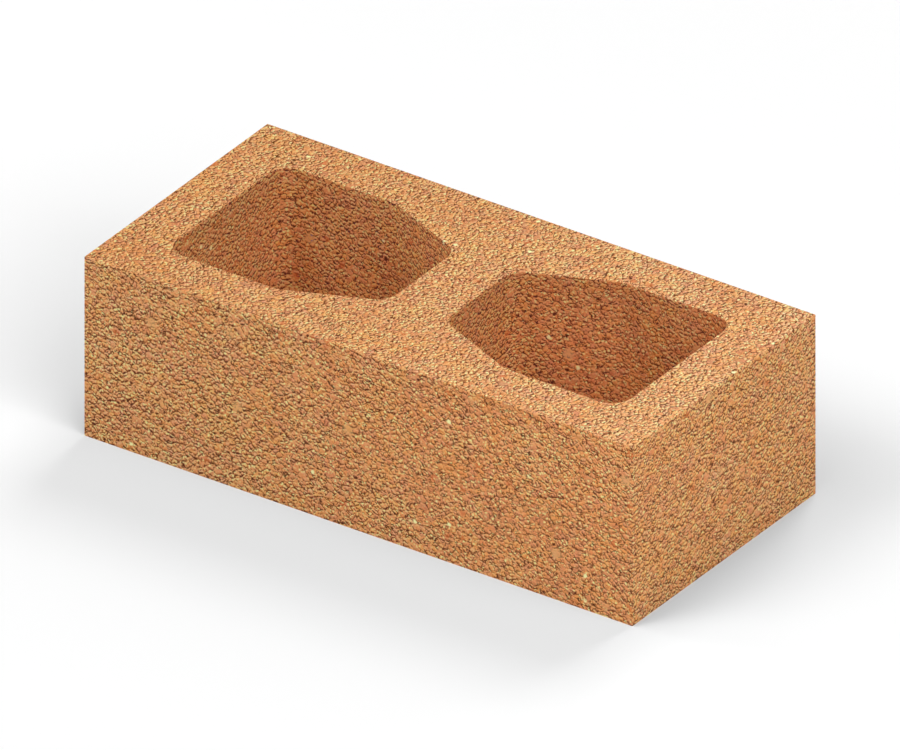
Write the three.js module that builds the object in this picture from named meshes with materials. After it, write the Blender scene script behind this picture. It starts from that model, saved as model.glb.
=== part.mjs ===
// A hollow clay brick with two upright cells that run right through it.
//
// The clay is pressed through a die that holds two cell formers, and is then wire cut and fired, so
// the brick is one solid of one section: its upright faces are straight and have no draft. A cell is
// as wide as the face shells allow at its outer end, and narrows on its way to the centre web, where
// the face shells thicken to carry the web. The cells' upright corners are filleted, as the formers
// are. The die eases the brick's upright edges, and the wire leaves the bed edges nearly sharp.
//
// Units are millimetres. X runs along the brick's length, Y runs through the wall it builds, and Z
// is up. The origin is the middle of the lower bed face. The brick is symmetric about X = 0 and
// about Y = 0.

import * as THREE from "three";

// Outer size: a 300 x 150 x 100 module, less a 10 mm mortar joint each way.
const LENGTH = 290;
const WIDTH = 140;
const HEIGHT = 90;

// Walls round the cells.
const END_WALL = 25; // from an end face to its cell
const FACE_SHELL = 25; // from a side face to the widest part of a cell
const CENTRE_WEB = 30; // between the two cells

// How each long side of a cell turns in towards the centre web.
const FLARE_RUN = 45; // length along X over which the face shell thickens
const FLARE_DEPTH = 19; // how much thicker the face shell has become at the web

// Rounding.
const CELL_FILLET = 10; // upright corners of a cell
const UPRIGHT_ARRIS = 1; // upright edges of the brick
const BED_ARRIS = 0.5; // edges of the two bed faces, at the outside and round the cells

// Faceting of the rounded parts.
const CELL_FACET_DEGREES = 7.5;
const ARRIS_FACET_DEGREES = 30;

const FIRED_CLAY = 0xc9864f;

/**
 * The points of a convex outline, given its corners anticlockwise, with an arc at each corner.
 * The arc starts radius * tan(turn / 2) before the corner, where turn is the change of heading.
 */
function roundedOutline(corners, radius, facetDegrees) {
  return corners.flatMap((corner, i) => {
    const before = corners.at(i - 1);
    const after = corners[(i + 1) % corners.length];
    const arriving = corner.clone().sub(before).normalize();
    const leaving = after.clone().sub(corner).normalize();
    const turn = Math.acos(arriving.dot(leaving));
    const leftOfArriving = new THREE.Vector2(-arriving.y, arriving.x);
    const centre = corner
      .clone()
      .addScaledVector(arriving, -radius * Math.tan(turn / 2))
      .addScaledVector(leftOfArriving, radius);
    const spokeToStart = leftOfArriving.multiplyScalar(-radius);
    const facets = Math.ceil(THREE.MathUtils.radToDeg(turn) / facetDegrees);
    return Array.from({ length: facets + 1 }, (_, k) =>
      centre.clone().add(spokeToStart)
        .rotateAround(centre, (turn * k) / facets),
    );
  });
}

/** The brick's plan, without its cells. */
function brickOutline() {
  const x = LENGTH / 2;
  const y = WIDTH / 2;
  const corners = [
    new THREE.Vector2(-x, -y),
    new THREE.Vector2(x, -y),
    new THREE.Vector2(x, y),
    new THREE.Vector2(-x, y),
  ];
  return roundedOutline(corners, UPRIGHT_ARRIS, ARRIS_FACET_DEGREES);
}

/** The plan of the cell on the +X side: square at its end wall, and drawn in towards the web. */
function cellOutline() {
  const webSide = CENTRE_WEB / 2;
  const endSide = LENGTH / 2 - END_WALL;
  const flareStart = webSide + FLARE_RUN;
  const halfWidth = WIDTH / 2 - FACE_SHELL;
  const halfThroat = halfWidth - FLARE_DEPTH;
  const corners = [
    new THREE.Vector2(webSide, -halfThroat),
    new THREE.Vector2(flareStart, -halfWidth),
    new THREE.Vector2(endSide, -halfWidth),
    new THREE.Vector2(endSide, halfWidth),
    new THREE.Vector2(flareStart, halfWidth),
    new THREE.Vector2(webSide, halfThroat),
  ];
  return roundedOutline(corners, CELL_FILLET, CELL_FACET_DEGREES);
}

/** The same outline on the other side of X = 0. */
function mirrored(outline) {
  return outline.map((p) => new THREE.Vector2(-p.x, p.y)).reverse();
}

/** The fired brick: its plan extruded over the height, with its bed edges eased. */
function brickGeometry() {
  const section = new THREE.Shape(brickOutline());
  const cell = cellOutline();
  section.holes = [new THREE.Path(cell), new THREE.Path(mirrored(cell))];
  const geometry = new THREE.ExtrudeGeometry(section, {
    depth: HEIGHT - 2 * BED_ARRIS,
    bevelThickness: BED_ARRIS,
    bevelSize: BED_ARRIS,
    bevelOffset: -BED_ARRIS,
    bevelSegments: Math.round(90 / ARRIS_FACET_DEGREES),
  });
  return geometry.translate(0, 0, BED_ARRIS);
}

const firedClay = new THREE.MeshStandardMaterial({
  color: FIRED_CLAY,
  roughness: 0.95,
  metalness: 0,
});

const brick = new THREE.Mesh(brickGeometry(), firedClay);
brick.name = "hollow_brick";

const group = new THREE.Group();
group.add(brick);

export default group;
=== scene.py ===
import math

import bpy
import numpy as np
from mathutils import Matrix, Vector


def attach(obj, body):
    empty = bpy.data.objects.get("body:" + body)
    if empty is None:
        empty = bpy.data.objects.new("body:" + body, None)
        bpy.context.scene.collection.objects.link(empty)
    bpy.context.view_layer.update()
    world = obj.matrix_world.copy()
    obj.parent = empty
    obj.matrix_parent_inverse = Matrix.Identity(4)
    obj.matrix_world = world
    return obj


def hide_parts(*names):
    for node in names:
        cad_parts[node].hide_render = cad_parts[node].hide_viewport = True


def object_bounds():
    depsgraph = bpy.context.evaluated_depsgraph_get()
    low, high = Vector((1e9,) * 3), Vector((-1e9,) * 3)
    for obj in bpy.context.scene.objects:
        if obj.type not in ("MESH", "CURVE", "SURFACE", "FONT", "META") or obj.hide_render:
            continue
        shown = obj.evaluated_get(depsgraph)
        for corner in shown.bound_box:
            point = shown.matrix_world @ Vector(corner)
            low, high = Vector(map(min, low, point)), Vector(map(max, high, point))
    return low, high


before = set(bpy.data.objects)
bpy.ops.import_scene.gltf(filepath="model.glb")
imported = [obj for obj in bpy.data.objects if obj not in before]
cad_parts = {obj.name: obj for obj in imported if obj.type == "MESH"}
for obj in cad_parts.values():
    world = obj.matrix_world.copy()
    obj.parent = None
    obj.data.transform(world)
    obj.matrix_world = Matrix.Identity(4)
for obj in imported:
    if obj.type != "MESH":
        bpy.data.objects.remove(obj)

CAD_LOW, CAD_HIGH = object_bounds()
CAD_SIZE = CAD_HIGH - CAD_LOW

bl_info = {
    "name": "Hollow Clay Brick",
    "version": (1, 0, 0),
    "blender": (4, 5, 0),
    "location": "3D View > Sidebar > Clay Brick",
    "description": "A fired clay brick with two upright cells, and a pale stage to show it on",
    "category": "Add Mesh",
}

MM = 0.001


# ---------------------------------------------------------------- settings


def length(name, description, default):
    """A length in metres."""
    return bpy.props.FloatProperty(
        name=name, description=description, default=default, min=0, unit="LENGTH", precision=5
    )


def share(name, description, default):
    """A number from 0 to 1."""
    return bpy.props.FloatProperty(
        name=name, description=description, default=default, min=0, max=1, subtype="FACTOR"
    )


def amount(name, description, default):
    """A number with no unit."""
    return bpy.props.FloatProperty(name=name, description=description, default=default)


def count(name, description, default):
    """A whole number."""
    return bpy.props.IntProperty(name=name, description=description, default=default, min=1)


def colour(name, description, default):
    """A linear colour."""
    return bpy.props.FloatVectorProperty(
        name=name, description=description, default=default, size=3, min=0, max=1, subtype="COLOR"
    )


class BrickShape(bpy.types.PropertyGroup):
    """The brick's section and height."""

    length: length("Length", "Along the wall it builds", CAD_SIZE.x)
    width: length("Width", "Through the wall it builds", CAD_SIZE.y)
    height: length("Height", "From bed face to bed face", CAD_SIZE.z)
    end_wall: length("End wall", "From an end face to its cell", 25 * MM)
    face_shell: length("Face shell", "From a side face to the widest part of a cell", 25 * MM)
    centre_web: length("Centre web", "Between the two cells", 30 * MM)
    flare_run: length("Flare run", "Length over which a face shell thickens", 45 * MM)
    flare_depth: length("Flare depth", "How much thicker a face shell is at the web", 19 * MM)
    cell_fillet: length("Cell fillet", "Radius of a cell's upright corners", 10 * MM)
    upright_arris: length("Upright arris", "Radius of the upright outer edges", 0.4 * MM)
    bed_arris: length("Bed arris", "Radius of the edges of both bed faces", 0.3 * MM)


class BrickSurface(bpy.types.PropertyGroup):
    """How finely the brick is meshed, and the relief of its fired skin."""

    side_columns: count("Side columns", "Mesh columns along half a side face", 100)
    end_columns: count("End columns", "Mesh columns along an end face", 96)
    web_columns: count("Web columns", "Mesh columns across the middle of a bed face", 56)
    wall_rows: count("Wall rows", "Mesh rows up an outer face", 62)
    cell_rows: count("Cell rows", "Mesh rows up a cell's wall", 44)
    top_rows: count("Top rows", "Mesh rows from a cell to the outside, on the upper bed face", 18)
    under_rows: count("Under rows", "Mesh rows from a cell to the outside, on the lower bed face", 9)
    lump_size: length("Lump size", "Typical width of a coarse lump of clay", 4.6 * MM)
    lump_depth: length("Lump depth", "Depth of the grooves between coarse lumps", 0.16 * MM)
    pit_spacing: length("Pit spacing", "Typical distance between open pits", 24 * MM)
    pit_width: length("Pit width", "Width of an open pit", 2.8 * MM)
    pit_depth: length("Pit depth", "Depth of an open pit", 0.45 * MM)
    edge_run: length("Edge run", "Width of the smoother skin beside the arrises", 3 * MM)
    seed: count("Seed", "Picks another set of lumps and pits", 7)


class BrickClay(bpy.types.PropertyGroup):
    """The fired clay's grain and colours, with painted light and shade on its grains."""

    grain_size: length("Grain size", "Typical width of a grain", 2.2 * MM)
    clump_size: length("Clump size", "Typical width of a clump of grains", 3.7 * MM)
    whole_clumps: share("Whole clumps", "Share of the clumps that are not broken into grains", 0.05)
    waver: length("Waver", "How far the grains' outlines wander", 1.5 * MM)
    grain_depth: length("Grain depth", "Height of the grains over the gaps", 0.35 * MM)
    slope_reach: length("Slope reach", "Distance over which a grain's slope is felt", 0.4 * MM)
    # Strength of the painted light and shade on each grain's slopes.
    slope_painted_light: amount("Slope tone", "How much a grain's slope changes its tone", 0.66)
    own_tone: amount("Own tone", "How much one grain's tone differs from the next", 0.12)
    clump_tone: amount("Clump tone", "How much one clump's tone differs from the next", 0.02)
    own_hue: amount("Own hue", "How much one grain's hue differs from the next", 1.0)
    mottle_tone: amount("Mottle tone", "How much the tone varies inside the grains", 0.48)
    unevenness: amount("Unevenness", "How much rougher some places look than others", 1.8)
    gap_width: length("Gap width", "Half the width of the gaps between grains", 0.18 * MM)
    # The gaps' darkness is painted shade in the crevices between grains and between clumps.
    gap_shade_tone: amount("Gap tone", "How dark the gaps between grains are", 2.5)
    clump_gap_shade_tone: amount("Clump gap tone", "How dark the gaps between clumps are", 2.1)
    # The yellow specks are painted highlights on the grains' lit sides.
    speck_size: length("Speck size", "Spacing of the yellow specks", 1.3 * MM)
    speck_share: share("Speck share", "How many of the possible yellow specks are there", 0.54)
    speck_tone: share("Speck tone", "How much a yellow speck covers the clay", 0.95)
    roughness: share("Roughness", "Roughness of the clay", 0.95)
    specular: share("Specular", "Specular level of the clay", 0.15)
    bump: share("Bump", "Strength of the fine relief", 0.3)
    # Gap colour: painted shade in the crevices between grains.
    gap: colour("Gap colour", "Deep gaps between grains", (0.140, 0.040, 0.0155))
    # Shade colour: painted shade on the grains' sides away from the painted light.
    shade: colour("Shade colour", "Grains' dark sides", (0.447, 0.162, 0.0553))
    body: colour("Body colour", "The clay itself", (0.825, 0.339, 0.1204))
    # Light colour: the grains' painted-lit sides.
    light: colour("Light colour", "Grains' pale sides", (0.868, 0.441, 0.1746))
    # Buff colour: the painted highlight on the grains' lit edges, not dust.
    painted_highlight: colour("Buff colour", "Dusty edges of the grains", (0.845, 0.600, 0.2500))
    # Speck colour: yellow specks painted as highlights on the grains' lit sides.
    speck: colour("Speck colour", "Yellow specks on the grains' pale sides", (0.865, 0.840, 0.335))
    cream: colour("Cream colour", "Sparse pale flecks", (0.950, 0.910, 0.420))
    rust: colour("Rust colour", "Sparse red spots", (0.700, 0.175, 0.0500))
    pale: colour("Pale colour", "Sparse smooth patches", (0.800, 0.500, 0.1975))


class StageSettings(bpy.types.PropertyGroup):
    """The floor, lamps and camera."""

    floor_width: length("Floor width", "Width of the floor", 12.0)
    floor_bounce: share("Floor bounce", "How much light the floor sends back to the brick", 0.85)
    flag_gap: length("Flag gap", "From the brick to the flags that guard the floor", 0.2 * MM)
    lamp_level: amount("Lamp level", "Strength of all the lamps together", 1.0)
    dome: amount("Dome", "Strength of the even light from all round", 0.0)
    view_turn: bpy.props.FloatProperty(
        name="View turn",
        description="Camera's turn from square on to the side face, towards the right end",
        default=math.radians(34.709),
        unit="ROTATION",
    )
    view_rise: bpy.props.FloatProperty(
        name="View rise",
        description="Camera's angle above the horizon",
        default=math.radians(30.189),
        unit="ROTATION",
    )
    view_width: length("View width", "Width that the camera takes in", 0.3912)
    view_distance: length("View distance", "From the camera to the middle of the brick", 2.0)


# ---------------------------------------------------------------- paths


# Mesh steps round an upright arris, a bed arris and a cell's fillet.
ARRIS_STEPS, BED_ARRIS_STEPS, FILLET_STEPS = 4, 3, 16

# Points whose places round to the same multiple of this are one.
WELD = MM * 1e-4


def rounded_path(corners, radius, arc_steps):
    """The closed path of a convex anticlockwise outline whose corners are arcs.

    An arc starts radius * tan(turn / 2) before its corner, where turn is the change of heading.
    Returns the points, the outward normals, the distance along the path at each point, and the
    distances at which each arc starts, is half done and ends.
    """
    corners = np.asarray(corners, float)
    arriving = corners - np.roll(corners, 1, 0)
    arriving /= np.linalg.norm(arriving, axis=1, keepdims=True)
    leaving = np.roll(arriving, -1, 0)
    outward = np.stack([arriving[:, 1], -arriving[:, 0]], 1)
    turn = np.arccos(np.clip((arriving * leaving).sum(1), -1, 1))
    centres = corners - arriving * radius * np.tan(turn / 2)[:, None] - outward * radius
    first = np.arctan2(outward[:, 1], outward[:, 0])
    angle = first[:, None] + turn[:, None] * np.linspace(0, 1, arc_steps + 1)
    normals = np.stack([np.cos(angle), np.sin(angle)], 2)
    points = (centres[:, None] + radius * normals).reshape(-1, 2)
    normals = normals.reshape(-1, 2)
    points, normals = np.vstack([points, points[:1]]), np.vstack([normals, normals[:1]])
    far = np.append(0, np.cumsum(np.linalg.norm(np.diff(points, axis=0), axis=1)))
    starts = np.arange(len(corners)) * (arc_steps + 1)
    marks = far[starts[:, None] + np.array([0, arc_steps // 2, arc_steps])]
    return points, normals, far, marks


def walk(path, places):
    """Points and unit normals at the given distances along a path, past its end too."""
    points, normals, far, _ = path
    at = np.asarray(places) % far[-1]
    where = np.stack([np.interp(at, far, points[:, i]) for i in (0, 1)], 1)
    facing = np.stack([np.interp(at, far, normals[:, i]) for i in (0, 1)], 1)
    return where, facing / np.linalg.norm(facing, axis=1, keepdims=True)


def steps(*stops):
    """Distances that go evenly from stop to stop: a stop, a number of steps, a stop, and so on."""
    runs = [
        np.linspace(stops[i], stops[i + 2], stops[i + 1] + 1)[:-1]
        for i in range(0, len(stops) - 2, 2)
    ]
    return np.append(np.concatenate(runs), stops[-1])


def band_faces(rows, columns, flip=False):
    """Four-sided faces that join a grid of points, rows by columns."""
    at = np.arange(rows * columns).reshape(rows, columns)
    quads = np.stack([at[:-1, :-1], at[:-1, 1:], at[1:, 1:], at[1:, :-1]], 2).reshape(-1, 4)
    return quads[:, ::-1] if flip else quads


# ---------------------------------------------------------------- relief


# Random numbers: large primes for a cell's three numbers, its seed and the draw, then the shifts
# and multipliers that mix them.
CELL_PRIMES = (73856093, 19349663, 83492791)
SEED_PRIME, DRAW_PRIME = 7919, 104729
MIXES = ((16, 0x7FEB352D), (15, 0x846CA68B))
LAST_SHIFT = 16
LARGEST = 0xFFFFFFFF

# The fired skin, with sizes in lump sizes. First the noise that makes the lumps' outlines wander,
# the width of a groove, and how much a lump falls away from its middle.
WANDER_SEEDS = (11, 12, 13)
WANDER_SIZE, WANDER_REACH = 0.7, 0.8
GROOVE_WIDTH = 0.55
LUMP_ROUNDNESS = 0.35
# Then the depths of the lumps and of fine and broad noise, in lump depths, and how much of them is
# left at an arris.
LUMP_DEPTH = 0.62
FINE_SIZE, FINE_DEPTH = 0.55, 0.35
BROAD_SIZE, BROAD_DEPTH = 6, 0.2
ARRIS_DEPTH = 0.15

# A point is on a bed face where its normal leans less than 45 degrees from upright.
FACES_UP = 0.7


def eased(t):
    """3t^2 - 2t^3, which goes from 0 to 1 with t and is level at both ends."""
    return t * t * (3 - 2 * t)


def scrambled(cells, seed):
    """Three even random numbers for each whole-number cell: its numbers are multiplied by large
    primes, joined by exclusive or, and mixed by shifts and multiplications."""
    x, y, z = np.moveaxis(cells.astype(np.int64).astype(np.uint32), -1, 0)
    by_x, by_y, by_z = (np.uint32(prime) for prime in CELL_PRIMES)
    made = []
    for draw in range(3):
        mixed = x * by_x ^ y * by_y ^ z * by_z
        mixed = mixed ^ np.uint32((seed * SEED_PRIME + draw * DRAW_PRIME) & LARGEST)
        for shift, factor in MIXES:
            mixed = (mixed ^ (mixed >> np.uint32(shift))) * np.uint32(factor)
        made.append((mixed ^ (mixed >> np.uint32(LAST_SHIFT))) / float(LARGEST))
    return np.stack(made, -1)


def nearest_seeds(points, size, seed):
    """Distances to the nearest and second nearest of one random seed point in each cell of a
    cubic lattice, in units of the lattice's pitch."""
    at = points / size
    home = np.floor(at)
    nearest = np.full(len(points), np.inf)
    second = nearest.copy()
    for offset in np.ndindex(3, 3, 3):
        cell = home + (np.array(offset) - 1)
        far = np.linalg.norm(cell + scrambled(cell, seed) - at, axis=1)
        second = np.minimum(second, np.maximum(nearest, far))
        nearest = np.minimum(nearest, far)
    return nearest, second


def soft_noise(points, size, seed):
    """Smooth noise from 0 to 1: random values at the corners of a cubic lattice, blended by
    3t^2 - 2t^3 along each axis."""
    at = points / size
    home = np.floor(at)
    t = eased(at - home)
    total = 0
    for offset in np.ndindex(2, 2, 2):
        corner = np.array(offset)
        weight = np.prod(np.where(corner, t, 1 - t), axis=1)
        total = total + weight * scrambled(home + corner, seed)[:, 0]
    return total


def skin_depth(points, normals, shape, surface):
    """How far the fired skin lies under the die's section at each point, how far into a pit the
    point is, from 0 to 1, and whether it is in a cell.

    Lumps: lump depth * (1 - edge)^2, where edge grows from 0 in the groove between two lumps to 1
    on a lump, and a little more the further the lump's own seed is, plus fine and broad noise.
    Pits: pit depth * (1 - (r / pit radius)^2) near the lattice seeds. Both are wavered by smooth
    noise, and fade towards the brick's arrises by 3t^2 - 2t^3 over the edge run."""
    size = surface.lump_size
    wander = np.stack([soft_noise(points, WANDER_SIZE * size, k) for k in WANDER_SEEDS], 1)
    bent = points + (wander - 0.5) * WANDER_REACH * size
    nearest, second = nearest_seeds(bent, size, surface.seed)
    edge = np.clip((second - nearest) / GROOVE_WIDTH, 0, 1)
    lumps = (1 - edge) ** 2 + LUMP_ROUNDNESS * nearest
    fine = soft_noise(points, FINE_SIZE * size, surface.seed + 1)
    broad = soft_noise(points, BROAD_SIZE * size, surface.seed + 2)
    far, _ = nearest_seeds(bent, surface.pit_spacing, surface.seed + 3)
    pit = np.clip(1 - (far * surface.pit_spacing / (surface.pit_width / 2)) ** 2, 0, 1)
    half = np.array([shape.length / 2, shape.width / 2])
    inset = half - abs(points[:, :2])
    to_bed = np.minimum(points[:, 2], shape.height - points[:, 2])
    on_bed = abs(normals[:, 2]) > FACES_UP
    to_arris = np.where(on_bed, inset.min(1), np.minimum(to_bed, inset.max(1)))
    fade = eased(np.clip(to_arris / surface.edge_run, 0, 1))
    lumps = surface.lump_depth * (LUMP_DEPTH * lumps + FINE_DEPTH * fine + BROAD_DEPTH * broad)
    lumps = (ARRIS_DEPTH + (1 - ARRIS_DEPTH) * fade) * lumps
    in_cell = ~on_bed & (inset.min(1) > shape.end_wall / 2)
    return lumps + fade * surface.pit_depth * pit, fade * pit, in_cell


# ---------------------------------------------------------------- brick


def half_section(shape, surface):
    """Matched rings of columns for the half of the brick on the +X side: the outer rim's points
    and normals, and the cell's. A column of a bed face runs from one ring to the other. The last
    columns of the outer rim lie across the middle of the brick and have no normal."""
    x, y = shape.length / 2, shape.width / 2
    outer = rounded_path([(-x, -y), (x, -y), (x, y), (-x, y)], shape.upright_arris, ARRIS_STEPS)
    near, far = outer[3][1], outer[3][2]
    front, back = near[0] - x + shape.upright_arris, far[2] + x - shape.upright_arris
    side, end, web = surface.side_columns, surface.end_columns, surface.web_columns
    arc, half_arc = ARRIS_STEPS, ARRIS_STEPS // 2
    rim = walk(
        outer, steps(front, side, near[0], arc, near[2], end, far[0], arc, far[2], side, back)
    )
    across = np.linspace(y, -y, web + 1)[1:-1]
    middle = np.stack([np.zeros_like(across), across], 1)

    throat = y - shape.face_shell - shape.flare_depth
    wide = y - shape.face_shell
    inner = shape.centre_web / 2
    flare = inner + shape.flare_run
    deep = x - shape.end_wall
    corners = [
        (inner, -throat), (flare, -wide), (deep, -wide), (deep, wide), (flare, wide), (inner, throat)
    ]
    cell = rounded_path(corners, shape.cell_fillet, FILLET_STEPS)
    mid = cell[3][:, 1]
    loop = cell[2][-1]
    side, end = side + half_arc, end + 2 * half_arc
    ring = walk(
        cell, steps(mid[0], side, mid[2], end, mid[3], side, mid[5], web, mid[0] + loop)[:-1]
    )
    return (
        (np.vstack([rim[0], middle]), np.vstack([rim[1], np.zeros_like(middle)])),
        ring,
        len(rim[0]),
    )


def arris_profile(radius, height, rows):
    """Inset and height of each row up a wall whose two bed edges are quarter rounds."""
    turn = np.linspace(0, math.pi / 2, BED_ARRIS_STEPS + 1)[:-1]
    inset, rise = radius * (1 - np.sin(turn)), radius * (1 - np.cos(turn))
    up = np.linspace(radius, height - radius, rows + 1)
    return (
        np.concatenate([inset, np.zeros(rows + 1), inset[::-1]]),
        np.concatenate([rise, up, height - rise[::-1]]),
    )


def carried(points, normals, profile, towards):
    """A profile of insets and heights carried along a path: each point of the path moves along its
    normal by towards * inset, and up by the height."""
    inset, rise = profile
    flat = points[None] + towards * inset[:, None, None] * normals[None]
    return np.concatenate([flat, np.broadcast_to(rise[:, None, None], flat.shape[:2] + (1,))], 2)


def mirrored(grid):
    """The same grid on the other side of X = 0."""
    return grid * np.array([-1, 1, 1])


def brick_surface(shape, surface):
    """Points and faces of the brick before its relief, with every patch welded to its neighbours.

    The patches are the outer wall, carried round the whole rim, and for each half the cell's wall,
    carried round its ring, and the two bed faces, where a point is the blend (1 - t) * ring + t *
    rim of a column's two ends."""
    (rim, rim_out), (ring, ring_out), outer_columns = half_section(shape, surface)
    arris = shape.bed_arris
    patches = []

    def patch(grid, flip):
        faces = band_faces(*grid.shape[:2], flip)
        patches.append((grid.reshape(-1, 3), faces))

    wall = arris_profile(arris, shape.height, surface.wall_rows)
    half = carried(rim[:outer_columns], rim_out[:outer_columns], wall, -1)
    patch(half, False)
    patch(mirrored(half), True)

    closed = np.append(np.arange(len(ring)), 0)
    cell_wall = arris_profile(arris, shape.height, surface.cell_rows)
    cell = carried(ring[closed], ring_out[closed], cell_wall, 1)
    patch(cell, True)
    patch(mirrored(cell), False)

    inner_edge = ring + arris * ring_out
    outer_edge = rim - arris * rim_out
    ends = outer_columns
    outer_edge[ends:, 1] *= 1 - arris / (shape.width / 2)
    for height, rows, turned in (
        (shape.height, surface.top_rows, False),
        (0.0, surface.under_rows, True),
    ):
        t = np.linspace(0, 1, rows + 1)[:, None, None]
        flat = (1 - t) * inner_edge[closed] + t * outer_edge[closed]
        bed = np.concatenate([flat, np.full(flat.shape[:2] + (1,), height)], 2)
        patch(bed, not turned)
        patch(mirrored(bed), turned)

    counts = np.cumsum([0] + [len(p) for p, _ in patches])
    points = np.vstack([p for p, _ in patches])
    faces = np.vstack([f + at for (_, f), at in zip(patches, counts)])
    _, kept, place = np.unique(
        np.round(points / WELD).astype(np.int64), axis=0, return_index=True, return_inverse=True
    )
    return points[kept], place.reshape(-1)[faces]


def outward_normals(points, faces):
    """Unit vertex normals: the sum of the normals of the faces round each point, by their area."""
    a, b = points[faces[:, 2]] - points[faces[:, 0]], points[faces[:, 3]] - points[faces[:, 1]]
    face_normals = np.cross(a, b)
    total = np.stack(
        [
            np.bincount(faces.ravel(), np.repeat(face_normals[:, i], 4), len(points))
            for i in range(3)
        ],
        1,
    )
    return total / np.linalg.norm(total, axis=1, keepdims=True)


def mesh_object(name, points, faces):
    """A mesh object at the origin with these points and four-sided faces, smooth shaded."""
    mesh = bpy.data.meshes.new(name)
    mesh.vertices.add(len(points))
    mesh.vertices.foreach_set("co", points.astype(np.float32).ravel())
    mesh.loops.add(faces.size)
    mesh.loops.foreach_set("vertex_index", faces.astype(np.int32).ravel())
    mesh.polygons.add(len(faces))
    mesh.polygons.foreach_set("loop_start", np.arange(0, faces.size, 4, dtype=np.int32))
    mesh.polygons.foreach_set("use_smooth", np.ones(len(faces), bool))
    mesh.update(calc_edges=True)
    mesh.validate()
    made = bpy.data.objects.new(name, mesh)
    bpy.context.scene.collection.objects.link(made)
    return made


# ---------------------------------------------------------------- shader maths


class Wire:
    """An output socket. Adding, subtracting or multiplying it adds a Math node."""

    def __init__(self, nodes, socket):
        self.nodes = nodes
        self.socket = socket

    def __add__(self, other):
        return self.nodes.maths("ADD", self, other)

    __radd__ = __add__

    def __sub__(self, other):
        return self.nodes.maths("SUBTRACT", self, other)

    def __rsub__(self, other):
        return self.nodes.maths("SUBTRACT", other, self)

    def __mul__(self, other):
        return self.nodes.maths("MULTIPLY", self, other)

    __rmul__ = __mul__

    def other(self, name):
        """Another output of the same node."""
        return Wire(self.nodes, self.socket.node.outputs[name])


class Nodes:
    """Adds nodes to one material."""

    def __init__(self, material):
        material.use_nodes = True
        self.tree = material.node_tree
        self.shader = self.tree.nodes["Principled BSDF"]
        self.output = self.tree.nodes["Material Output"]

    def feed(self, node, sockets):
        """Sets or links a node's input sockets, given by identifier or index."""
        for key, value in sockets.items():
            found = [s for i, s in enumerate(node.inputs) if key in (s.identifier, i)][0]
            if isinstance(value, Wire):
                self.tree.links.new(value.socket, found)
            else:
                found.default_value = value

    def add(self, kind, settings=None, sockets=None, output=0):
        """A new node: its settings first, then its sockets. Returns one of its outputs."""
        node = self.tree.nodes.new("ShaderNode" + kind)
        for name, value in (settings or {}).items():
            if name == "stops":
                ramp = node.color_ramp.elements
                while len(ramp) < len(value):
                    ramp.new(1)
                for stop, (position, tint) in zip(ramp, value):
                    stop.position, stop.color = position, (*tint, 1)
            else:
                setattr(node, name, value)
        self.feed(node, sockets or {})
        return Wire(self, node.outputs[output])

    def maths(self, operation, *values):
        """A Math node's operation on numbers."""
        return self.add("Math", {"operation": operation}, dict(enumerate(values)))

    def vector(self, operation, a, b=(0, 0, 0), scale=1.0):
        """A Vector Math node's operation on two vectors or colours, or on one and a scale."""
        return self.add("VectorMath", {"operation": operation}, {0: a, 1: b, "Scale": scale})

    def split(self, vector):
        """The three numbers of a vector or colour."""
        x = self.add("SeparateXYZ", sockets={0: vector})
        return x, x.other("Y"), x.other("Z")

    def join(self, *numbers):
        """The vector or colour of three numbers."""
        return self.add("CombineXYZ", sockets=dict(enumerate(numbers)))

    def blend(self, factor, a, b):
        """Colour a turned into colour b by a factor."""
        sides = {
            key: side if isinstance(side, Wire) else (*side, 1)
            for key, side in (("A_Color", a), ("B_Color", b))
        }
        return self.add("Mix", {"data_type": "RGBA"}, {"Factor_Float": factor, **sides}, 2)

    def ease(self, value, low, high, first=0.0, last=1.0):
        """Goes smoothly from first to last as value goes from low to high, and stays there."""
        return self.add(
            "MapRange",
            {"interpolation_type": "SMOOTHSTEP"},
            {0: value, 1: low, 2: high, 3: first, 4: last},
        )

    def noise(self, place, size, detail=0.0):
        """Smooth noise about 0.5 whose waves are about size across, in the units of place."""
        sockets = {"Vector": place, "Scale": 1 / size, "Detail": detail}
        return self.add("TexNoise", {"noise_dimensions": "3D"}, sockets)

    def cells(self, place, size, feature="F1"):
        """Cells round random points, about size across. Gives the distance, in units of size."""
        sockets = {"Vector": place, "Scale": 1 / size}
        return self.add("TexVoronoi", {"feature": feature}, sockets, "Distance")

    def attribute(self, name):
        """A number that the mesh holds at each point."""
        return self.add("Attribute", {"attribute_name": name}, output="Fac")


# ---------------------------------------------------------------- fired clay


# The kinds of face in the tables of weights below. "any" is the whole brick, "bed" the two bed
# faces, "end" the faces across the brick's length, "side" the faces along it, and "cell" the walls
# of both cells, which are ends and sides too. "outer_side" leaves the cells out. With "_right", a
# weight grows along the brick, from -1/2 of it at the left end to 1/2 of it at the right end, and
# with "_relief" it is multiplied by the relief.

# Which way the grains' painted-lit sides face, towards the painted light: along the brick on the
# beds, and up on the upright faces.
PAINTED_LIGHT_WAY = {
    "bed": (1.0, -0.17, 0.0),
    "end": (0.0, -0.08, 1.0),
    "side": (0.075, 0.0, 0.89),
    "side_right": (0.27, 0.0, -0.22),
}
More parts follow.
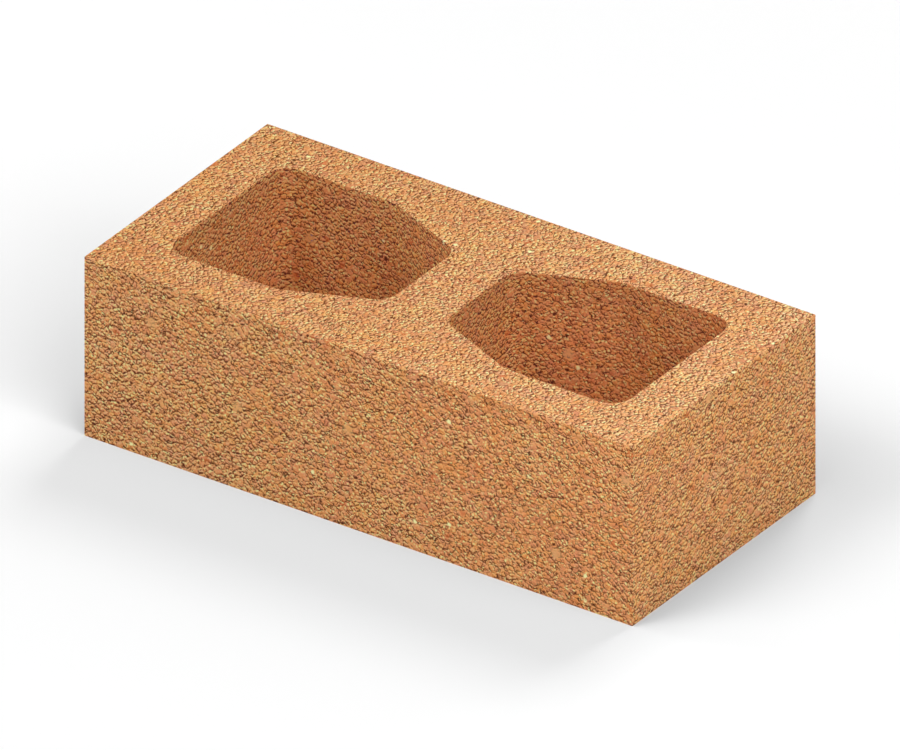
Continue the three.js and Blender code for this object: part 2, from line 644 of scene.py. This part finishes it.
# What multiplies the clay's red, green and blue: a tint over all and a slight one on the ends,
# and painted light: paler, bluer beds, beds and outer sides that brighten towards the right end,
# painted shade in the cells, and blue that shifts with the painted relief on the beds and cells.
FACE_COLOURS_AND_PAINTED_LIGHT = {
    "any": (1.020, 1.0, 1.025),
    "bed": (-0.031, 0.034, 0.12),
    "end": (0.011, 0.004, 0.005),
    "cell": (-0.055, -0.128, -0.147),
    "bed_right": (0.08, 0.15, 0.30),
    "outer_side_right": (0.12, 0.10, 0.09),
    "bed_relief": (0.0, 0.0, 0.10),
    "cell_relief": (0.0, 0.0, -0.14),
}
# What multiplies the relief's contrast, which carries the painted light and shade, the painted
# shade of all gaps and of the gaps between clumps, and a grain's own tone.
FACE_CONTRAST = {"any": 1.09, "end": 0.21, "bed": -0.06, "side_right": -0.45}
FACE_GAPS = {"any": 1.0, "bed": -0.15}
FACE_CLUMP_GAPS = {"any": 1.0, "bed": 0.12, "end": -0.25}
FACE_OWN_TONE = {"any": 1.0, "end": -0.5}
# What a bed face adds to the clumps' own tone.
BED_CLUMP_TONE = 0.10

# The cosines of a normal's lean between which one kind of face gives way to the next.
FACE_TURN = (0.6, 0.8)
# How far from the brick's middle, in millimetres, the change along the brick ends.
RIGHT_END = 140.0

# The grains' shape. Widths are in grain sizes, and heights in grain depths.
SIDE_WIDTH = 0.34
PLATE_HEIGHT, DOME_HEIGHT, CLUMP_HEIGHT = 0.5, 0.7, 0.35
SOFT_SIZE, SOFT_HEIGHT = 0.65, 0.5

# Sizes of noise: of the waver and of where gaps are open, in grain sizes, then of the mottle, of
# the places that are rougher than others and of the drift of hue, in millimetres.
WAVER_SIZE, OPEN_SIZE = 0.55, 0.85
MOTTLE_SIZE, UNEVEN_SIZE, DRIFT_SIZE = 0.7, 25.0, 22.0

# Gaps, painted shade in the crevices: the noise between which they go from closed to open, the
# slopes between which they go from full on the sides away from the painted light to faint on the
# lit sides, how faint, and how much wider they are between clumps.
OPEN_NOISE = (0.40, 0.66)
GAP_SLOPES = (-0.25, 0.08)
FAINT_GAP = 0.15
CLUMP_GAP_WIDTH = 1.18

# The relief's calm level lies this far below 0, and contrast grows with the distance from it.
CALM_LEVEL = 0.12
LEAST_CONTRAST, CONTRAST_GROWTH = 0.75, 1.1

# Spots: typical spacing and radius in millimetres, and the share of the places that have one.
SMOOTH_PATCHES = (21.0, 2.7, 0.35)
STAINS = (6.5, 0.75, 0.40)
RED_SPOTS = (8.0, 1.7, 0.17)
CREAM_FLECKS = (6.0, 1.0, 0.055)
# Half the width of a spot's soft rim, in radii, and how softly a share is chosen.
SPOT_RIM = 0.3
CHOICE_EDGE = 0.02

# How much a patch smooths the relief, how much darker a stain is, and how much painted shade
# darkens a pit.
PATCH_CALM, STAIN_TONE, PIT_SHADE = 0.65, 0.5, 0.35
# How much red spots and smooth patches cover the clay.
RED_COVER, PATCH_COVER = 0.6, 0.4

# Yellow specks, painted highlights: the distances between which one ends, in their spacing, how
# softly their share is chosen, and the slopes between which they appear on the grains' lit sides.
SPECK_RIM = (0.26, 0.54)
SPECK_CHOICE = 0.15
SPECK_SLOPES = (-0.10, 0.08)

# The tone of each of the clay's colours, from the painted shade of the gaps to the painted
# highlight on the grains' lit edges.
TONES = {"gap": 0.0, "shade": 0.27, "body": 0.5, "light": 0.72, "painted_highlight": 1.0}
# How much each grain, each clump and each region is deeper or paler, and yellower or redder.
GRAIN_HUE, CLUMP_HUE, DRIFT_HUE = (0.29, 0.14), (0.19, 0.08), (0.34, 0.07)
# How much the red grows where the clay is deeper, as a share of what the blue loses.
DEEP_RED = 0.1


def face_masks(nodes, place):
    """A mask for each kind of face, from 0 to 1, or from -1/2 to 1/2 for those with "_right". A bed
    face's normal points along Z, a side's along Y and an end's along X."""
    _, y, z = nodes.split(nodes.add("TexCoord", output="Normal"))
    bed, side = (nodes.ease(nodes.maths("ABSOLUTE", part), *FACE_TURN) for part in (z, y))
    cell = nodes.attribute("cell")
    right = nodes.ease(nodes.split(place)[0], -RIGHT_END, RIGHT_END) - 0.5
    side_right = side * right
    return {
        "any": 1,
        "bed": bed,
        "end": 1 - bed - side,
        "side": side,
        "cell": cell,
        "bed_right": bed * right,
        "side_right": side_right,
        "outer_side_right": side_right * (1 - cell),
    }


def by_face(masks, weights):
    """A number that differs by the kind of face: the sum of the weights times their masks."""
    terms = [weight * masks[face] for face, weight in weights.items() if weight]
    return sum(terms[1:], terms[0])


def vector_by_face(nodes, masks, weights):
    """A vector or colour that differs by the kind of face: the sum of each of its numbers."""
    parts = ({face: weight[i] for face, weight in weights.items()} for i in range(3))
    return nodes.join(*(by_face(masks, part) for part in parts))


def wavered(nodes, place, clay):
    """The place, moved by up to half the waver along each axis, by noise finer than the grains."""
    wander = nodes.noise(place, WAVER_SIZE * clay.grain_size / MM, detail=2.0).other("Color")
    wander = nodes.vector("SUBTRACT", wander, (0.5, 0.5, 0.5))
    return nodes.vector("ADD", place, nodes.vector("SCALE", wander, scale=clay.waver / MM))


def grain_height(nodes, place, broken, clay):
    """Height of the grains, from 0 in the gaps to about 1, and the distances to the nearest gap
    between grains and between clumps, in units of their sizes.

    A grain is a plate with steep sides under a dome, and a clump is a lower plate beneath its
    grains. A whole clump has no grains of its own. All are softened by noise."""
    grain, clump = clay.grain_size / MM, clay.clump_size / MM
    edge = nodes.cells(place, grain, "DISTANCE_TO_EDGE")
    clump_edge = nodes.cells(place, clump, "DISTANCE_TO_EDGE")
    plate = PLATE_HEIGHT * nodes.ease(edge, 0.0, SIDE_WIDTH) + DOME_HEIGHT * edge
    clump_plate = CLUMP_HEIGHT * nodes.ease(clump_edge, 0.0, SIDE_WIDTH * grain / clump)
    soft = nodes.noise(place, SOFT_SIZE * grain, detail=1.0)
    return broken * plate + clump_plate + SOFT_HEIGHT * (soft - 0.5), edge, clump_edge


def painted_gap_shade(nodes, place, masks, broken, edge, clump_edge, slope, clay):
    """The painted shade in the gaps: darkest along the edges between grains and between clumps,
    faint on the grains' lit sides, and closed here and there by noise."""
    width = clay.gap_width
    gaps = clay.gap_shade_tone * broken * nodes.ease(edge, 0.0, width / clay.grain_size, 1.0, 0.0)
    clump_width = CLUMP_GAP_WIDTH * width / clay.clump_size
    clump_gap_shade = clay.clump_gap_shade_tone * by_face(masks, FACE_CLUMP_GAPS)
    gaps = gaps + clump_gap_shade * nodes.ease(clump_edge, 0.0, clump_width, 1.0, 0.0)
    gaps = gaps * nodes.ease(slope, *GAP_SLOPES, 1.0, FAINT_GAP) * by_face(masks, FACE_GAPS)
    noise = nodes.noise(place, OPEN_SIZE * clay.grain_size / MM, detail=1.0)
    return gaps * nodes.ease(noise, *OPEN_NOISE)


def unevened(nodes, place, masks, relief, clay):
    """The relief about its calm level, times a contrast that differs by the kind of face and by
    broad noise, and that grows in proportion to the distance from the level."""
    contrast = by_face(masks, FACE_CONTRAST)
    contrast = contrast + clay.unevenness * (nodes.noise(place, UNEVEN_SIZE, detail=3.0) - 0.5)
    relief = relief + CALM_LEVEL
    growth = LEAST_CONTRAST + CONTRAST_GROWTH * nodes.maths("ABSOLUTE", relief)
    return relief * contrast * growth - CALM_LEVEL


def sparse_spots(nodes, place, spacing, radius, kept):
    """Round spots of 1 on 0 at a share of random points about spacing apart."""
    far = nodes.cells(place, spacing)
    pick = nodes.split(far.other("Color"))[0]
    reach = radius / spacing
    inside = nodes.ease(far, (1 - SPOT_RIM) * reach, (1 + SPOT_RIM) * reach, 1.0, 0.0)
    return inside * nodes.ease(pick, 1 - kept, 1 - kept + CHOICE_EDGE)


def tinted(nodes, colour, random, amounts):
    """A colour made deeper or paler, and yellower or redder, by two numbers of a random colour.
    Deeper has less blue and a little more red, and yellower has more green and more blue."""
    deep, yellow = amounts
    first, second, _ = nodes.split(random)
    deeper = deep * (first - 0.5)
    yellower = yellow * (second - 0.5)
    tint = nodes.join(1 + DEEP_RED * deeper, 1 + yellower, 1 - deeper + yellower)
    return nodes.vector("MULTIPLY", colour, tint)


def with_speck_highlights(nodes, base, bent, slope, patch, clay):
    """The colour with yellow specks, painted highlights on the grains' lit sides, away from the
    smooth patches.
    """
    far = nodes.cells(bent, clay.speck_size / MM)
    pick = nodes.split(far.other("Color"))[0]
    absent = 1 - clay.speck_share
    speck = nodes.ease(far, *SPECK_RIM, 1.0, 0.0)
    speck = speck * nodes.ease(pick, absent, absent + SPECK_CHOICE)
    speck = speck * nodes.ease(slope, *SPECK_SLOPES) * (1 - patch)
    return nodes.blend(clay.speck_tone * speck, base, tuple(clay.speck))


def fired_clay(clay):
    """Fired clay, patterned by the brick's Object coordinates in millimetres.

    Tone is painted light and shade from the grains' slope towards the painted light, plus a tone
    for each grain and clump and a fine mottle, less the painted shade of the open gaps, with a
    contrast that differs from place to place, less stains and the painted shade of pits. It picks
    a colour between the gaps' painted-shade brown and the painted highlight on the grains' lit
    edges. Each grain, clump and region has a hue of its own. Red spots, smooth patches, yellow
    specks painted as highlights on the grains' lit sides, and cream flecks lie on top. Each kind
    of face has a slight tint of its own, and painted light: paler beds, beds and outer sides that
    brighten towards the right end, and painted shade in the cells."""
    material = bpy.data.materials.new("fired_clay")
    nodes = Nodes(material)
    place = nodes.vector("SCALE", nodes.add("TexCoord", output="Object"), scale=1 / MM)
    masks = face_masks(nodes, place)
    bent = wavered(nodes, place, clay)

    clump_random = nodes.cells(bent, clay.clump_size / MM).other("Color")
    grain_random = nodes.cells(bent, clay.grain_size / MM).other("Color")
    clump_own, _, _ = nodes.split(clump_random)
    grain_own, _, _ = nodes.split(grain_random)
    whole = clay.whole_clumps
    broken = nodes.ease(clump_own, whole - CHOICE_EDGE, whole + CHOICE_EDGE)
    height, edge, clump_edge = grain_height(nodes, bent, broken, clay)
    # Painted light and shade: where a grain falls in height towards the painted light it is painted
    # lit, and where it rises it is painted shaded.
    reach = vector_by_face(nodes, masks, PAINTED_LIGHT_WAY)
    reach = nodes.vector("SCALE", reach, scale=clay.slope_reach / MM)
    ahead, _, _ = grain_height(nodes, nodes.vector("ADD", bent, reach), broken, clay)
    slope = height - ahead

    patch, stain, red, cream = (
        sparse_spots(nodes, bent, *spots)
        for spots in (SMOOTH_PATCHES, STAINS, RED_SPOTS, CREAM_FLECKS)
    )
    gaps = painted_gap_shade(nodes, place, masks, broken, edge, clump_edge, slope, clay)
    own_tone = clay.own_tone * by_face(masks, FACE_OWN_TONE)
    clump_tone = by_face(masks, {"any": clay.clump_tone, "bed": BED_CLUMP_TONE})
    # The tone: painted light and shade from the slope, less the gaps' painted shade, plus each
    # grain's and clump's own tone and a mottle.
    relief = clay.slope_painted_light * slope - gaps
    relief = relief + own_tone * (grain_own - 0.5) + clump_tone * (clump_own - 0.5)
    relief = relief + clay.mottle_tone * (nodes.noise(place, MOTTLE_SIZE, detail=1.0) - 0.5)
    relief = unevened(nodes, place, masks, relief, clay)
    tone = TONES["body"] + relief * (1 - PATCH_CALM * patch)
    # Stains are darker clay, and pits are darkened by painted shade.
    tone = tone - STAIN_TONE * stain - PIT_SHADE * nodes.attribute("pit")

    stops = [(position, tuple(getattr(clay, name))) for name, position in TONES.items()]
    base = nodes.add("ValToRGB", {"stops": stops}, {0: tone})
    base = tinted(nodes, base, grain_random, [clay.own_hue * hue for hue in GRAIN_HUE])
    base = tinted(nodes, base, clump_random, [clay.own_hue * hue for hue in CLUMP_HUE])
    drift = nodes.noise(place, DRIFT_SIZE, detail=2.0).other("Color")
    base = tinted(nodes, base, drift, DRIFT_HUE)
    base = nodes.blend(RED_COVER * red, base, tuple(clay.rust))
    base = nodes.blend(PATCH_COVER * patch, base, tuple(clay.pale))
    base = with_speck_highlights(nodes, base, bent, slope, patch, clay)
    base = nodes.blend(cream, base, tuple(clay.cream))
    # Each kind of face gets its tint and its painted light: paler beds, beds and outer sides
    # brightening towards the right end, and painted shade in the cells.
    for face in ("bed", "cell"):
        masks[face + "_relief"] = masks[face] * relief
    base = nodes.vector("MULTIPLY", base, vector_by_face(nodes, masks, FACE_COLOURS_AND_PAINTED_LIGHT))

    bump = nodes.add(
        "Bump", sockets={"Strength": clay.bump, "Distance": clay.grain_depth, "Height": height}
    )
    finish = {"Roughness": clay.roughness, "Specular IOR Level": clay.specular}
    nodes.feed(nodes.shader, {"Base Color": base, "Normal": bump, **finish})
    return material


class BRICK_OT_add_brick(bpy.types.Operator):
    """Makes the hollow brick, with its fired clay"""

    bl_idname = "clay_brick.add_brick"
    bl_label = "Add Hollow Brick"

    def execute(self, context):
        scene = context.scene
        shape, surface = scene.brick_shape, scene.brick_surface
        points, faces = brick_surface(shape, surface)
        normals = outward_normals(points, faces)
        depth, pit, in_cell = skin_depth(points, normals, shape, surface)
        brick = mesh_object("fired_brick", points - normals * depth[:, None], faces)
        for name, values in (("pit", pit), ("cell", in_cell.astype(float))):
            brick.data.attributes.new(name, "FLOAT", "POINT").data.foreach_set("value", values)
        brick.data.materials.append(fired_clay(scene.brick_clay))
        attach(brick, "root")
        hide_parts("hollow_brick")
        return {"FINISHED"}


# ---------------------------------------------------------------- stage


# Turn and rise as seen from the brick, in degrees, distance and width in metres, and strength:
# how bright the lamp alone makes a white card that faces it.
LAMPS = (
    ("right_lamp", 334, 40, 3.4, 2.89, 0.461),
    ("near_right_lamp", 350, 40, 0.7, 0.315, 0.142),
    ("high_back_lamp", 90, 55, 2.2, 0.99, 0.246),
    ("low_back_lamp", 90, 32, 1.4, 1.19, 0.196),
    ("high_left_lamp", 252, 60, 3.4, 2.89, 0.260),
    ("left_lamp", 240, 50, 2.2, 0.99, 0.192),
    ("low_left_lamp", 192, 18, 1.2, 0.54, 0.300),
)


def sight(turn, rise):
    """The unit vector that rises from the floor and is turned from +X towards +Y, in degrees."""
    a, e = math.radians(turn), math.radians(rise)
    return Vector((math.cos(a) * math.cos(e), math.sin(a) * math.cos(e), math.sin(e)))


def add_lamp(scene, name, target, way, distance, width, strength):
    """A round, soft lamp that faces the target. Its power is strength * (pi * distance)^2 watts."""
    light = bpy.data.lights.new(name, "AREA")
    light.shape = "DISK"
    light.size = width
    light.energy = strength * (math.pi * distance) ** 2
    lamp = bpy.data.objects.new(name, light)
    lamp.location = target + way * distance
    lamp.rotation_euler = way.to_track_quat("Z", "Y").to_euler()
    scene.collection.objects.link(lamp)


class BRICK_OT_add_stage(bpy.types.Operator):
    """Makes the pale floor, the soft lamps and the camera"""

    bl_idname = "clay_brick.add_stage"
    bl_label = "Add Stage"

    def execute(self, context):
        scene = context.scene
        stage = scene.brick_stage
        half = stage.floor_width / 2
        corners = np.array([(-half, -half, 0), (half, -half, 0), (half, half, 0), (-half, half, 0)])
        floor = mesh_object("floor", corners, np.array([[0, 1, 2, 3]]))
        floor.data.materials.append(floor_paint(stage))
        add_flags(stage)
        world = bpy.data.worlds.new("even_light")
        world.use_nodes = True
        background = world.node_tree.nodes["Background"]
        background.inputs["Color"].default_value = (1, 1, 1, 1)
        background.inputs["Strength"].default_value = stage.dome
        scene.world = world
        target = Vector((0, 0, CAD_SIZE.z / 2))
        for name, turn, rise, distance, width, strength in LAMPS:
            level = stage.lamp_level * strength
            add_lamp(scene, name, target, sight(turn, rise), distance, width, level)
        add_camera(scene, stage, target)
        scene.view_settings.view_transform = "Standard"
        return {"FINISHED"}


def floor_paint(stage):
    """White to the camera, and a little greyer to the light it sends back to the brick."""
    material = bpy.data.materials.new("pale_floor")
    nodes = Nodes(material)
    path = nodes.add("LightPath", output="Is Camera Ray")
    seen = path + path.other("Is Glossy Ray") + path.other("Is Transmission Ray")
    grey = (stage.floor_bounce,) * 3
    base = nodes.blend(seen, grey, (1, 1, 1))
    nodes.feed(nodes.shader, {"Base Color": base, "Roughness": 1.0, "Specular IOR Level": 0.0})
    return material


def add_flags(stage):
    """Black flags round the brick's upright faces, that keep its orange light off the floor. Only
    bounced light sees them, and only from outside."""
    x, y = np.array([CAD_SIZE.x, CAD_SIZE.y]) / 2 + stage.flag_gap
    low, high = stage.flag_gap, CAD_SIZE.z + stage.flag_gap
    ring = np.array([(-x, -y), (x, -y), (x, y), (-x, y)])
    points = np.vstack([np.column_stack([ring, np.full(4, z)]) for z in (low, high)])
    sides = np.array([(0, 1, 5, 4), (1, 2, 6, 5), (2, 3, 7, 6), (3, 0, 4, 7)])
    flags = mesh_object("flags", points, sides)
    material = bpy.data.materials.new("black_flag")
    nodes = Nodes(material)
    outside = nodes.add("BsdfDiffuse", sockets={0: (0, 0, 0, 1)})
    inside = nodes.add("BsdfTransparent")
    back = nodes.add("NewGeometry", output="Backfacing")
    mix = nodes.add("MixShader", sockets={0: back, 1: outside, 2: inside})
    nodes.feed(nodes.output, {0: mix})
    flags.data.materials.append(material)
    for rays in ("camera", "glossy", "transmission", "volume_scatter", "shadow"):
        setattr(flags, "visible_" + rays, False)
    return flags


def add_camera(scene, stage, target):
    """A camera with parallel rays, which looks at the middle of the brick."""
    turn, rise = stage.view_turn, stage.view_rise
    back = Vector(
        (math.sin(turn) * math.cos(rise), -math.cos(turn) * math.cos(rise), math.sin(rise))
    )
    data = bpy.data.cameras.new("camera")
    data.type = "ORTHO"
    data.ortho_scale = stage.view_width
    camera = bpy.data.objects.new("camera", data)
    camera.location = target + back * stage.view_distance
    camera.rotation_euler = (-back).to_track_quat("-Z", "Y").to_euler()
    scene.collection.objects.link(camera)
    scene.camera = camera


# ---------------------------------------------------------------- add-on


GROUPS = {
    "brick_shape": BrickShape,
    "brick_surface": BrickSurface,
    "brick_clay": BrickClay,
    "brick_stage": StageSettings,
}
OPERATORS = (BRICK_OT_add_brick, BRICK_OT_add_stage)


class BRICK_PT_panel(bpy.types.Panel):
    """Lists what the add-on makes"""

    bl_idname = "BRICK_PT_panel"
    bl_label = "Clay Brick"
    bl_space_type = "VIEW_3D"
    bl_region_type = "UI"
    bl_category = "Clay Brick"

    def draw(self, context):
        layout = self.layout
        for owner in GROUPS:
            settings = getattr(context.scene, owner)
            box = layout.box()
            for name in settings.__annotations__:
                box.prop(settings, name)
        for operator in OPERATORS:
            layout.operator(operator.bl_idname)


CLASSES = (*GROUPS.values(), *OPERATORS, BRICK_PT_panel)


def register():
    for cls in CLASSES:
        bpy.utils.register_class(cls)
    for name, group in GROUPS.items():
        setattr(bpy.types.Scene, name, bpy.props.PointerProperty(type=group))


def unregister():
    for name in GROUPS:
        delattr(bpy.types.Scene, name)
    for cls in reversed(CLASSES):
        bpy.utils.unregister_class(cls)


def main():
    register()
    bpy.ops.clay_brick.add_stage()
    bpy.ops.clay_brick.add_brick()


if __name__ == "__main__":
    main()
